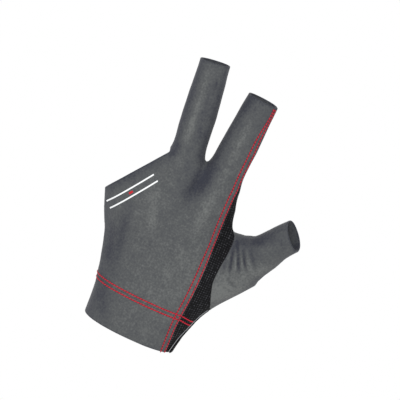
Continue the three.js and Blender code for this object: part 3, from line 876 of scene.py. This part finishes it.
# How far the cuff's rows drop on the gusset, between which places across, and on which levels
CUFF_ROW_DROP = 3.2
CUFF_ROW_DROP_REACH = (27, 42)
CUFF_ROW_DROP_LEVELS = (-4, 2)
CUFF_RING_PLACES = 240
INDEX_EDGE_PLACES = 160
# How far past the finger's opening the index seam's line starts out, and how far before it the rows end
LINE_PAST_OPENING = 3
ROWS_FROM_OPENING = 0.6
# A stitch's rings of points and their sides, how blunt its ends are, and its lift, in its heights
STITCH_RINGS = 9
STITCH_SIDES = 10
STITCH_BLUNTNESS = 2.4
STITCH_LIFT = 0.35
# The least turn between the form's slope and a level's, and the longest stride to their meeting line
LEAST_TURN = 0.05
LONGEST_STRIDE = 1.5
# The share of its distance by which a place moves towards the form, which keeps it from passing
STRIDE_SHARE = 0.8


def slope_of(level, p, step=0.05):
    rises = [level(p + step * axis) - level(p - step * axis) for axis in np.eye(3)]
    return np.stack([rise / (2 * step) for rise in rises], 1)


def onto_line(p, level, turns=14):
    """Moves points, at their own heights, to where the form's surface meets a level's zero."""
    for _ in range(turns):
        distance, slope = distance_and_slope(p)
        rise = slope_of(level, p)
        value = level(p)
        spread = slope[:, 0] * rise[:, 1] - slope[:, 1] * rise[:, 0]
        spread = np.where(np.abs(spread) < LEAST_TURN, np.copysign(LEAST_TURN, spread), spread)
        dx = -(distance * rise[:, 1] - value * slope[:, 1]) / spread
        dy = -(value * slope[:, 0] - distance * rise[:, 0]) / spread
        stride = np.maximum(np.hypot(dx, dy) / LONGEST_STRIDE, 1)
        p = p + np.stack([dx / stride, dy / stride, np.zeros(len(p))], 1)
    return p


def toward_form(p, direction, turns=60):
    for _ in range(turns):
        p = p + direction * (STRIDE_SHARE * hand_distance(p))[:, None]
    return p


def lengths_along(line):
    """How far each point of a line is from its start, along the line."""
    return np.append(0, np.cumsum(np.linalg.norm(np.diff(line, axis=0), axis=1)))


def evenly(points, pitch):
    """Points at an even pitch along a line."""
    at = lengths_along(points)
    count = int(round(at[-1] / pitch))
    wanted = np.linspace(0, at[-1], count + 1)
    return np.stack([np.interp(wanted, at, points[:, i]) for i in range(3)], 1)


def index_edge():
    """The back panel's edge from the wrist's hem to the index finger's opening."""
    top = axis_point(INDEX, 1)[2] + LINE_PAST_OPENING
    z = np.linspace(0, top, INDEX_EDGE_PLACES)
    x = np.interp(z, INDEX_LINE[:, 1], INDEX_LINE[:, 0])
    from_back = toward_form(np.stack([x, np.full_like(z, OUTSIDE["back"]), z], 1), TO_PALM)
    from_side = np.stack([np.full_like(z, OUTSIDE["index"]), index_seam_level(z), z], 1)
    share = smoothstep(z, *SEAM_TURN)[:, None]
    line = onto_line(mix(from_back, from_side, share), past_index_seam)
    return line[before_opening(line, INDEX, INDEX["lean"], INDEX["tilt"]) > ROWS_FROM_OPENING]


def beside_seam(line, low_gap, high_gap, steps=4):
    """A line on the form beside the index seam's, on the back of the hand's side."""
    along = unit(np.gradient(line, axis=0))
    gap = mix(low_gap, high_gap, smoothstep(line[:, 2:], *ROWS_CLOSE_UP))
    for _ in range(steps):
        normals = normals_at(line)
        aside = unit(np.cross(along, normals))
        aside *= np.where(aside[:, :1] > 0, -1, 1)
        line = onto_form(line + aside * gap / steps, turns=1)
    return line


def cuff_ring(height):
    """A ring round the cuff's seam, which drops where it crosses the gusset on the back."""
    turn = np.linspace(0, 2 * math.pi, CUFF_RING_PLACES)
    inward = -np.stack([np.cos(turn), np.sin(turn), np.zeros_like(turn)], 1)
    start = np.array([0, 0, height]) - inward * OUTSIDE["round"]
    ring = toward_form(start, inward)
    towards_back = smoothstep(-ring[:, 1], *CUFF_ROW_DROP_LEVELS)
    start[:, 2] -= CUFF_ROW_DROP * smoothstep(ring[:, 0], *CUFF_ROW_DROP_REACH) * towards_back
    return toward_form(start, inward)


def joined(parts):
    points, faces, count = [], [], 0
    for part_points, part_faces in parts:
        points.append(part_points)
        faces.append(part_faces + count)
        count += len(part_points)
    return np.vstack(points), np.vstack(faces)


def ring_quads(rings, sides):
    """The quads between rings of points, where each ring's points follow those of the ring before."""
    i, j = np.meshgrid(np.arange(rings - 1) * sides, np.arange(sides), indexing="ij")
    i, j = i.ravel(), j.ravel()
    after = (j + 1) % sides
    return np.stack([i + j, i + after, i + sides + after, i + sides + j], 1)


def stitch_row(line, stitch_length):
    """A row of slanted, plump stitches, as points and faces."""
    centres = evenly(line, STITCH_PITCH)
    along = unit(np.gradient(centres, axis=0))
    normals = normals_at(centres)
    centres = on_cloth(centres)
    aside = np.cross(normals, along)
    slant = math.radians(STITCH_SLANT)
    rings, sides = STITCH_RINGS, STITCH_SIDES
    share = np.cos(math.pi * np.arange(rings) / (rings - 1))
    girth = np.sqrt(np.clip(1 - np.abs(share) ** STITCH_BLUNTNESS, 0.0004, 1))
    turn = 2 * math.pi * np.arange(sides) / sides
    length = share[:, None] * stitch_length / 2 * np.ones(sides)
    width = girth[:, None] * np.cos(turn) * STITCH_WIDTH / 2
    height = girth[:, None] * np.sin(turn) * STITCH_HEIGHT + STITCH_HEIGHT * STITCH_LIFT
    run = length * math.cos(slant) - width * math.sin(slant)
    side = length * math.sin(slant) + width * math.cos(slant)
    stitches = []
    for k in range(len(centres) - 1):
        place = (
            (centres[k] + centres[k + 1]) / 2
            + run.reshape(-1, 1) * along[k]
            + side.reshape(-1, 1) * aside[k]
            + height.reshape(-1, 1) * normals[k]
        )
        stitches.append((place, ring_quads(rings, sides)))
    return joined(stitches)


def tube(line, normals, wide, high, sides=8):
    """A closed tube along a line, as points and faces.

    wide and high are half its width and height, for all of it or for each place."""
    along = unit(np.gradient(line, axis=0))
    aside = unit(np.cross(normals, along))
    out = np.cross(along, aside)
    turn = 2 * math.pi * np.arange(sides) / sides
    wide, high = [np.broadcast_to(size, (len(line),))[:, None, None] for size in (wide, high)]
    points = (
        line[:, None]
        + aside[:, None] * (np.cos(turn)[:, None] * wide)
        + out[:, None] * (np.sin(turn)[:, None] * high)
    ).reshape(-1, 3)
    quads = ring_quads(len(line), sides)
    first, last = len(points), len(points) + 1
    ring = np.arange(sides)
    last_ring = (len(line) - 1) * sides
    caps = [np.stack([np.roll(ring, -1), ring, np.full(sides, first)], 1),
            np.stack([last_ring + ring, last_ring + np.roll(ring, -1), np.full(sides, last)], 1)]
    triangles = np.vstack([quads[:, [0, 1, 2]], quads[:, [0, 2, 3]], *caps])
    return np.vstack([points, line[:1], line[-1:]]), triangles


def thread_core(line):
    """The flat run of thread below a row's stitches, in a darker red that is painted shade under the
    stitches.
    """
    line = evenly(line, STITCH_PITCH / 2)
    return tube(on_cloth(line), normals_at(line), CORE_WIDTH / 2, CORE_HEIGHT)


# A black strip inside the index seam, which closes the slit below the lapped cloth: painted shade, a dark
# line in the slit

SHADOW_STRIP_HALF_WIDTH = 1.4
SHADOW_STRIP_HALF_HEIGHT = 0.15
SHADOW_STRIP_DEPTH = 0.85
SHADOW_STRIP_FROM_HEM = 1.0


def seam_shadow_strip(edge):
    line = evenly(edge[edge[:, 2] > SHADOW_STRIP_FROM_HEM], STITCH_PITCH / 2)
    normals = normals_at(line)
    return tube(line - normals * SHADOW_STRIP_DEPTH, normals, SHADOW_STRIP_HALF_WIDTH, SHADOW_STRIP_HALF_HEIGHT)


# The binding along the gusset's palm side: a tape that wraps the edge, and a thin light grey line
# where it ends on the back of the hand

BINDING_HEIGHTS = (-0.006, 0.04, 0.11, 0.18, 0.25, 0.288)
BINDING_LEVEL = 1.0
BINDING_PITCH = 0.8
# How far the light grey line is from the outermost line in the view from the back, at the hem and at the
# thumb, and its radius, its height over the form, and its start above the hem
LIGHT_LINE_INSET = (2.4, 1.4)
LIGHT_LINE_RADIUS = 0.3
LIGHT_LINE_LIFT = 0.4
LIGHT_LINE_FROM_HEM = 0.4
# How far the tape reaches past its two lines, over the palm's cloth and below the light grey line
TAPE_OVER_CLOTH = 0.9
TAPE_BELOW_LIGHT_LINE = 0.1
TAPE_HIGH = 0.55
TAPE_END = 1.3
TAPE_SIDES = 24


def binding_lines():
    """The tape's line at the palm's side and the light grey line on the back, both on the form."""
    heights = spline([(0, 0, up * PALM_HEIGHT) for up in BINDING_HEIGHTS], BINDING_STEPS)[0][:, 2]
    start = np.stack([np.full_like(heights, x) for x in (OUTSIDE["thumb"], BINDING_LEVEL)] + [heights], 1)
    outer = evenly(toward_form(start, np.array([-1.0, 0, 0])), BINDING_PITCH)
    share = (outer[:, 2] - outer[0, 2]) / (outer[-1, 2] - outer[0, 2])
    from_back = outer.copy()
    from_back[:, 0] -= mix(*LIGHT_LINE_INSET, share)
    from_back[:, 1] = OUTSIDE["back"]
    return outer, toward_form(from_back, TO_PALM)


def tape(outer, inner):
    """The binding's tape between two lines, with a rounded end at the hem and at the thumb."""
    across = unit(outer - inner)
    outer = outer + across * TAPE_OVER_CLOTH
    inner = inner - across * TAPE_BELOW_LIGHT_LINE
    line = onto_form((outer + inner) / 2)
    wide = np.linalg.norm(outer - inner, axis=1) / 2
    lengths = lengths_along(line)
    to_end = np.minimum(lengths, lengths[-1] - lengths)
    size = np.sqrt(np.clip(1 - (1 - np.clip(to_end / TAPE_END, 0, 1)) ** 2, 0.02, 1))
    return tube(line, normals_at(line), size * wide, size * TAPE_HIGH, TAPE_SIDES)


def tape_light_line(inner):
    inner = inner[inner[:, 2] > LIGHT_LINE_FROM_HEM]
    normals = normals_at(inner)
    return tube(inner + normals * LIGHT_LINE_LIFT, normals, LIGHT_LINE_RADIUS, LIGHT_LINE_RADIUS)


# Materials

def node_tree(material):
    material.use_nodes = True
    tree = material.node_tree
    return tree, tree.nodes["Principled BSDF"]


def linear(*screen):
    """Blender's colour from a screen colour of 0 to 255."""
    colour = [((c / 255 + 0.055) / 1.055) ** 2.4 if c > 10 else c / 255 / 12.92 for c in screen]
    return (*colour, 1)


# How dark and blue the cloth is, from 0 to 1: its own grey at rest, and painted shade where it faces
# sideways, inside, at hems, in creases by their depth in millimetres, and in spots of painted shade, which
# are painted highlights where negative
TONE_AT_REST = 0.39
PAINTED_SHADE_SIDEWAYS = 0.45
PAINTED_SHADE_INSIDE = 0.22
PAINTED_SHADE_AT_HEM = 0.4
HEM_SHADE_WIDTH = 0.7
PAINTED_SHADE_IN_CREASE = 0.5
# The ranges over which this painted shade sets in: how far normals turn sideways, the depth of creases,
# and for spots the levels towards the back
SIDEWAYS_TURNS = (0.35, 1.0)
CREASE_DEPTHS = (-0.5, 1)
SPOT_LEVELS = (-4, 4)
# Spots of painted shade on the back of the hand, and of painted highlight where their tone is negative
PAINTED_LIGHT_AND_SHADE_SPOTS = table("across up lean reach length tone", [
    (0.01, 0.92, 17, 0.08, 0.14, 0.42),
    (-0.345, 0.455, -11, 0.045, 0.17, 0.4),
    (-0.27, 0.13, -21, 0.055, 0.12, 0.32),
    (-0.46, 0.81, 36, 0.045, 0.3, 0.36),
    (-0.15, 0.95, 0, 0.08, 0.07, 0.12),
    (0.565, 0.67, 50, 0.06, 0.08, 0.2),
    (0.543, 0.745, 55, 0.05, 0.14, 0.38),
    (0.44, 0.69, 20, 0.04, 0.06, 0.18),
    (0.53, 0.42, 40, 0.13, 0.13, -0.4),
    (0.73, 0.64, 50, 0.05, 0.12, -0.3),
    (0.14, 0.36, 10, 0.16, 0.24, -0.12),
    (-0.26, 1.3, -8, 0.16, 0.26, 0.17),
    (0.14, 1.28, 3, 0.15, 0.24, 0.15),
    (0.1, 1.4, 3, 0.1, 0.08, 0.26),
    (0.78, 0.84, 40, 0.16, 0.1, 0.08),
    (-0.24, 1.22, -7, 0.028, 0.26, -0.36),
    (-0.175, 1.25, -8, 0.03, 0.2, 0.1),
    (-0.35, 1.25, -9, 0.035, 0.2, 0.14),
    (0.145, 1.18, 1, 0.04, 0.26, -0.28),
])
# The knit's colours by its tone: a lighter grey for painted highlights, its own grey near the tone at rest,
# and a dark blue grey for painted shade
KNIT_COLOURS_PAINTED_LIGHT_TO_SHADE = ((0.0, (98, 100, 99)), (0.36, (75, 77, 78)), (1.0, (44, 46, 55)))
# Spots in the knit's tone: their size in millimetres, and their strength as a tone
FINE_SPOTS = dict(size=1.4, strength=0.9, detail=3.0)
BROAD_SPOTS = dict(size=7.0, strength=0.38)
LOOP_SIZE = 0.5
LOOP_HEIGHT = 0.22
# The net's colours by how far a place stands out, from 0 to 1: its own black, and a painted highlight on
# the highest threads; and the uneven spots of that highlight: their size, and what their noise is
# multiplied by and what is added to it
MESH_COLOURS_WITH_PAINTED_GLINTS = ((0.0, (14, 14, 16)), (0.66, (14, 14, 16)), (1.0, (64, 64, 68)))
MESH_GLINT_SPOTS = 2.0
MESH_GLINT_SPOTS_SCALING = (1.2, -0.66)
MESH_BUMP = 0.3
# A plain print beside the last fingers' opening: two white lines with a short red bar between them.
# Its middle is across and up the hand, and its slope is from the wrist's line, in degrees.
PRINT_AT = (-40.0, 94.0)
PRINT_SLOPE = 56
PRINT_LONG = 40
PRINT_LINE_WIDE = 1.0
PRINT_LINES_APART = 5.2
PRINT_BAR = (3.2, 1.5)
PRINT_WHITE = (226, 228, 228)
PRINT_RED = (176, 26, 38)


def tone_with_painted_shade(points, normals, facing):
    # Painted shade where the cloth faces sideways
    tone = TONE_AT_REST + PAINTED_SHADE_SIDEWAYS * smoothstep(np.abs(normals[:, 0]), *SIDEWAYS_TURNS)
    # Painted shade on the cloth's inner face
    tone += PAINTED_SHADE_INSIDE * (facing < -IS_FACING)
    # Painted shade along the hems
    tone += PAINTED_SHADE_AT_HEM * np.exp(-((hem_distance(points) / HEM_SHADE_WIDTH) ** 2))
    # Painted shade in the creases, by their depth
    tone += PAINTED_SHADE_IN_CREASE * np.clip(-folds(points), *CREASE_DEPTHS)
    # Spots of painted shade on the back, and of painted highlight where their tone is negative
    towards_back = smoothstep(-points[:, 1], *SPOT_LEVELS)
    for spot in PAINTED_LIGHT_AND_SHADE_SPOTS:
        aside, along = across_and_along(points, spot)
        tone += spot["tone"] * np.exp(-(aside**2) - along**2) * towards_back
    return np.clip(tone, 0, 1)


def add_node(tree, kind, **settings):
    node = tree.nodes.new("ShaderNode" + kind)
    for name, value in settings.items():
        setattr(node, name, value)
    return node


def arithmetic(tree, operation, *operands):
    """A Math node's output, from sockets and numbers."""
    node = add_node(tree, "Math", operation=operation)
    for i, operand in enumerate(operands):
        if isinstance(operand, (int, float)):
            node.inputs[i].default_value = operand
        else:
            tree.links.new(operand, node.inputs[i])
    return node.outputs[0]


def noise(tree, places, size, detail=2.0):
    """A noise texture's factor, with spots of a size in millimetres."""
    node = add_node(tree, "TexNoise")
    node.inputs["Scale"].default_value = 1 / (size * MM)
    node.inputs["Detail"].default_value = detail
    tree.links.new(places, node.inputs["Vector"])
    return node.outputs["Fac"]


def mottle(tree, places, size, strength, detail=2.0):
    """Noise round zero, as far apart as its strength."""
    return arithmetic(tree, "MULTIPLY_ADD", noise(tree, places, size, detail), strength, -strength / 2)


def colours(tree, factor, stops):
    ramp = add_node(tree, "ValToRGB")
    elements = ramp.color_ramp.elements
    while len(elements) < len(stops):
        elements.new(0.5)
    for element, (place, colour) in zip(elements, stops):
        element.position = place
        element.color = linear(*colour)
    tree.links.new(factor, ramp.inputs["Fac"])
    return ramp.outputs["Color"]


def printed(tree, places, colour):
    """A colour with the plain print laid over it, on the outer face of the back of the hand."""
    slope = math.radians(PRINT_SLOPE)
    axes = [(math.cos(slope), 0, math.sin(slope)), (-math.sin(slope), 0, math.cos(slope))]
    away = []
    for axis in axes:
        node = add_node(tree, "VectorMath", operation="DOT_PRODUCT")
        tree.links.new(places, node.inputs[0])
        node.inputs[1].default_value = [share / MM for share in axis]
        middle = PRINT_AT[0] * axis[0] + PRINT_AT[1] * axis[2]
        shifted = arithmetic(tree, "SUBTRACT", node.outputs["Value"], middle)
        away.append(arithmetic(tree, "ABSOLUTE", shifted))
    split = add_node(tree, "SeparateXYZ")
    tree.links.new(places, split.inputs[0])
    is_outer = add_node(tree, "Attribute", attribute_name="outer").outputs["Fac"]
    is_back = arithmetic(tree, "MULTIPLY", arithmetic(tree, "LESS_THAN", split.outputs[1], 0.0), is_outer)
    from_line = arithmetic(tree, "ABSOLUTE", arithmetic(tree, "SUBTRACT", away[1], PRINT_LINES_APART / 2))
    on_line = arithmetic(tree, "LESS_THAN", from_line, PRINT_LINE_WIDE / 2)
    in_length = arithmetic(tree, "LESS_THAN", away[0], PRINT_LONG / 2)
    line = arithmetic(tree, "MULTIPLY", arithmetic(tree, "MULTIPLY", on_line, in_length), is_back)
    in_bar = [arithmetic(tree, "LESS_THAN", a, size / 2) for a, size in zip(away, PRINT_BAR)]
    bar = arithmetic(tree, "MULTIPLY", arithmetic(tree, "MULTIPLY", *in_bar), is_back)
    for share, ink in ((line, PRINT_WHITE), (bar, PRINT_RED)):
        mixer = add_node(tree, "Mix", data_type="RGBA")
        tree.links.new(share, mixer.inputs["Factor"])
        tree.links.new(colour, mixer.inputs[6])
        mixer.inputs[7].default_value = linear(*ink)
        colour = mixer.outputs[2]
    return colour


def bump(tree, shader, height, distance, strength=1.0):
    node = add_node(tree, "Bump")
    node.inputs["Distance"].default_value = distance * MM
    node.inputs["Strength"].default_value = strength
    tree.links.new(height, node.inputs["Height"])
    tree.links.new(node.outputs["Normal"], shader.inputs["Normal"])


def knit_material():
    """Grey jersey: a tone kept with the mesh, which holds painted shade and painted highlights, mottled,
    over fine uneven loops.
    """
    material = bpy.data.materials.new("grey_knit")
    tree, shader = node_tree(material)
    places = add_node(tree, "TexCoord").outputs["Object"]
    tone = add_node(tree, "Attribute", attribute_name="tone").outputs["Fac"]
    mottled = arithmetic(tree, "ADD", tone, mottle(tree, places, **FINE_SPOTS))
    mottled = arithmetic(tree, "ADD", mottled, mottle(tree, places, **BROAD_SPOTS))
    colour = printed(tree, places, colours(tree, mottled, KNIT_COLOURS_PAINTED_LIGHT_TO_SHADE))
    tree.links.new(colour, shader.inputs["Base Color"])
    shader.inputs["Roughness"].default_value = 0.88
    shader.inputs["Specular IOR Level"].default_value = 0.25
    shader.inputs["Sheen Weight"].default_value = 0.12
    shader.inputs["Sheen Roughness"].default_value = 0.5
    bump(tree, shader, noise(tree, places, LOOP_SIZE, 3.0), LOOP_HEIGHT, 0.8)
    return material


def mesh_material():
    """Black net: small painted highlights in staggered rows over dark holes."""
    material = bpy.data.materials.new("black_net")
    tree, shader = node_tree(material)
    places = add_node(tree, "Attribute", attribute_name="net").outputs["Vector"]
    split = add_node(tree, "SeparateXYZ")
    tree.links.new(places, split.inputs[0])
    turns = [arithmetic(tree, "SINE", split.outputs[i]) for i in range(2)]
    waves = arithmetic(tree, "MULTIPLY", *turns)
    height = arithmetic(tree, "MULTIPLY_ADD", waves, 0.5, 0.5)
    spots = add_node(tree, "TexCoord").outputs["Object"]
    # The lightest colour is a painted highlight on the highest threads, in uneven spots
    uneven = arithmetic(tree, "MULTIPLY_ADD", noise(tree, spots, MESH_GLINT_SPOTS), *MESH_GLINT_SPOTS_SCALING)
    painted_glint = arithmetic(tree, "ADD", height, uneven)
    tree.links.new(colours(tree, painted_glint, MESH_COLOURS_WITH_PAINTED_GLINTS), shader.inputs["Base Color"])
    shader.inputs["Roughness"].default_value = 0.8
    shader.inputs["Specular IOR Level"].default_value = 0.12
    bump(tree, shader, height, MESH_BUMP)
    return material


def plain_material(name, colour, roughness, gloss=0.25):
    material = bpy.data.materials.new(name)
    shader = node_tree(material)[1]
    shader.inputs["Roughness"].default_value = roughness
    shader.inputs["Specular IOR Level"].default_value = gloss
    shader.inputs["Base Color"].default_value = colour
    return material


# The camera, as far off and as turned as the photographer's, and the studio

CAMERA_DISTANCE = 1.25
CAMERA_ELEVATION = 10.5
CAMERA_ROLL = 25.4
CAMERA_AIM = (5.45, 0.0, 107.05)
SEEN_WIDTH = 0.28
SENSOR_WIDTH = 36
# The studio's one light, in metres and watts
KEY_LIGHT = dict(place=(-0.2, -1.2, 0.7), aim=(0, 0, 0.1), size=0.35, power=9)


def add_camera():
    camera = bpy.data.objects.new("camera", bpy.data.cameras.new("camera"))
    bpy.context.collection.objects.link(camera)
    camera.data.sensor_width = SENSOR_WIDTH
    camera.data.lens = SENSOR_WIDTH * CAMERA_DISTANCE / SEEN_WIDTH
    elevation, roll = math.radians(CAMERA_ELEVATION), math.radians(CAMERA_ROLL)
    forward = np.array([0, math.cos(elevation), -math.sin(elevation)])
    level, upright = np.array([1.0, 0, 0]), np.array([0, math.sin(elevation), math.cos(elevation)])
    right = math.cos(roll) * level + math.sin(roll) * upright
    up = -math.sin(roll) * level + math.cos(roll) * upright
    place = np.array(CAMERA_AIM) * MM - forward * CAMERA_DISTANCE
    matrix = Matrix.Identity(4)
    for i in range(3):
        matrix[i][0], matrix[i][1], matrix[i][2], matrix[i][3] = right[i], up[i], -forward[i], place[i]
    camera.matrix_world = matrix
    bpy.context.scene.camera = camera


def add_light(name, place, aim, size, power):
    light = bpy.data.objects.new(name, bpy.data.lights.new(name, "AREA"))
    bpy.context.collection.objects.link(light)
    light.data.shape = "DISK"
    light.data.size = size
    light.data.energy = power
    light.location = place
    light.rotation_euler = (Vector(place) - Vector(aim)).to_track_quat("Z", "Y").to_euler()


def add_studio():
    world = bpy.data.worlds.new("studio")
    bpy.context.scene.world = world
    world.use_nodes = True
    world.node_tree.nodes["Background"].inputs["Color"].default_value = (1, 1, 1, 1)
    world.node_tree.nodes["Background"].inputs["Strength"].default_value = 1.0
    bpy.context.scene.view_settings.view_transform = "Standard"
    add_light("key", **KEY_LIGHT)


def main():
    knit = knit_material()
    net = mesh_material()
    tape_black = plain_material("tape_black", linear(9, 9, 11), 0.9, 0.05)
    light_line_grey = plain_material("light_line_grey", linear(128, 130, 133), 0.7)
    red = plain_material("red_thread", linear(178, 17, 40), 0.6)
    # A darker copy of the red thread, painted shade for the cores below the stitches
    shaded_red = plain_material("shaded_red_thread", linear(104, 11, 31), 0.8)
    parted = panels()
    for name, node in (("back", "back_panel"), ("palm", "palm_panel"), ("thumb", "thumb_sleeve"),
                       ("cuff", "wrist_cuff")):
        points, faces = cloth(*parted[name], KNIT_HALF, LAP)
        set_tone(piece_of(node + "_cloth", points, faces, knit, "grey_cloth", node), points)
    points, faces = cloth(*parted["gusset"], MESH_HALF, -LAP)
    set_net(piece_of("mesh_gusset_net", points, faces, net, "black_mesh", "mesh_gusset"), points)

    edge = index_edge()
    # A black strip of painted shade in the index seam's slit
    piece_of("index_seam_shadow_strip", *seam_shadow_strip(edge), tape_black, "black_mesh")
    seam_lines = [beside_seam(edge, *gaps) for gaps in ROW_FROM_EDGE]
    cuff_lines = [cuff_ring(CUFF_HEIGHT + gap) for gap in CUFF_ROW_FROM_SEAM]
    for name, lines, length in (("index_seam", seam_lines, SEAM_STITCH_LENGTH),
                                ("cuff_seam", cuff_lines, CUFF_STITCH_LENGTH)):
        rows = [stitch_row(line, length) for line in lines]
        piece_of(name + "_stitches", *joined(rows), red, "red_thread")
        piece_of(name + "_cores", *joined([thread_core(line) for line in lines]), shaded_red, "red_thread")

    outer, inner = binding_lines()
    piece_of("edge_binding_tape", *tape(outer, inner), tape_black, "black_binding", "edge_binding")
    piece_of("edge_binding_light_line", *tape_light_line(inner), light_line_grey, "black_binding")
    add_camera()
    add_studio()


main()
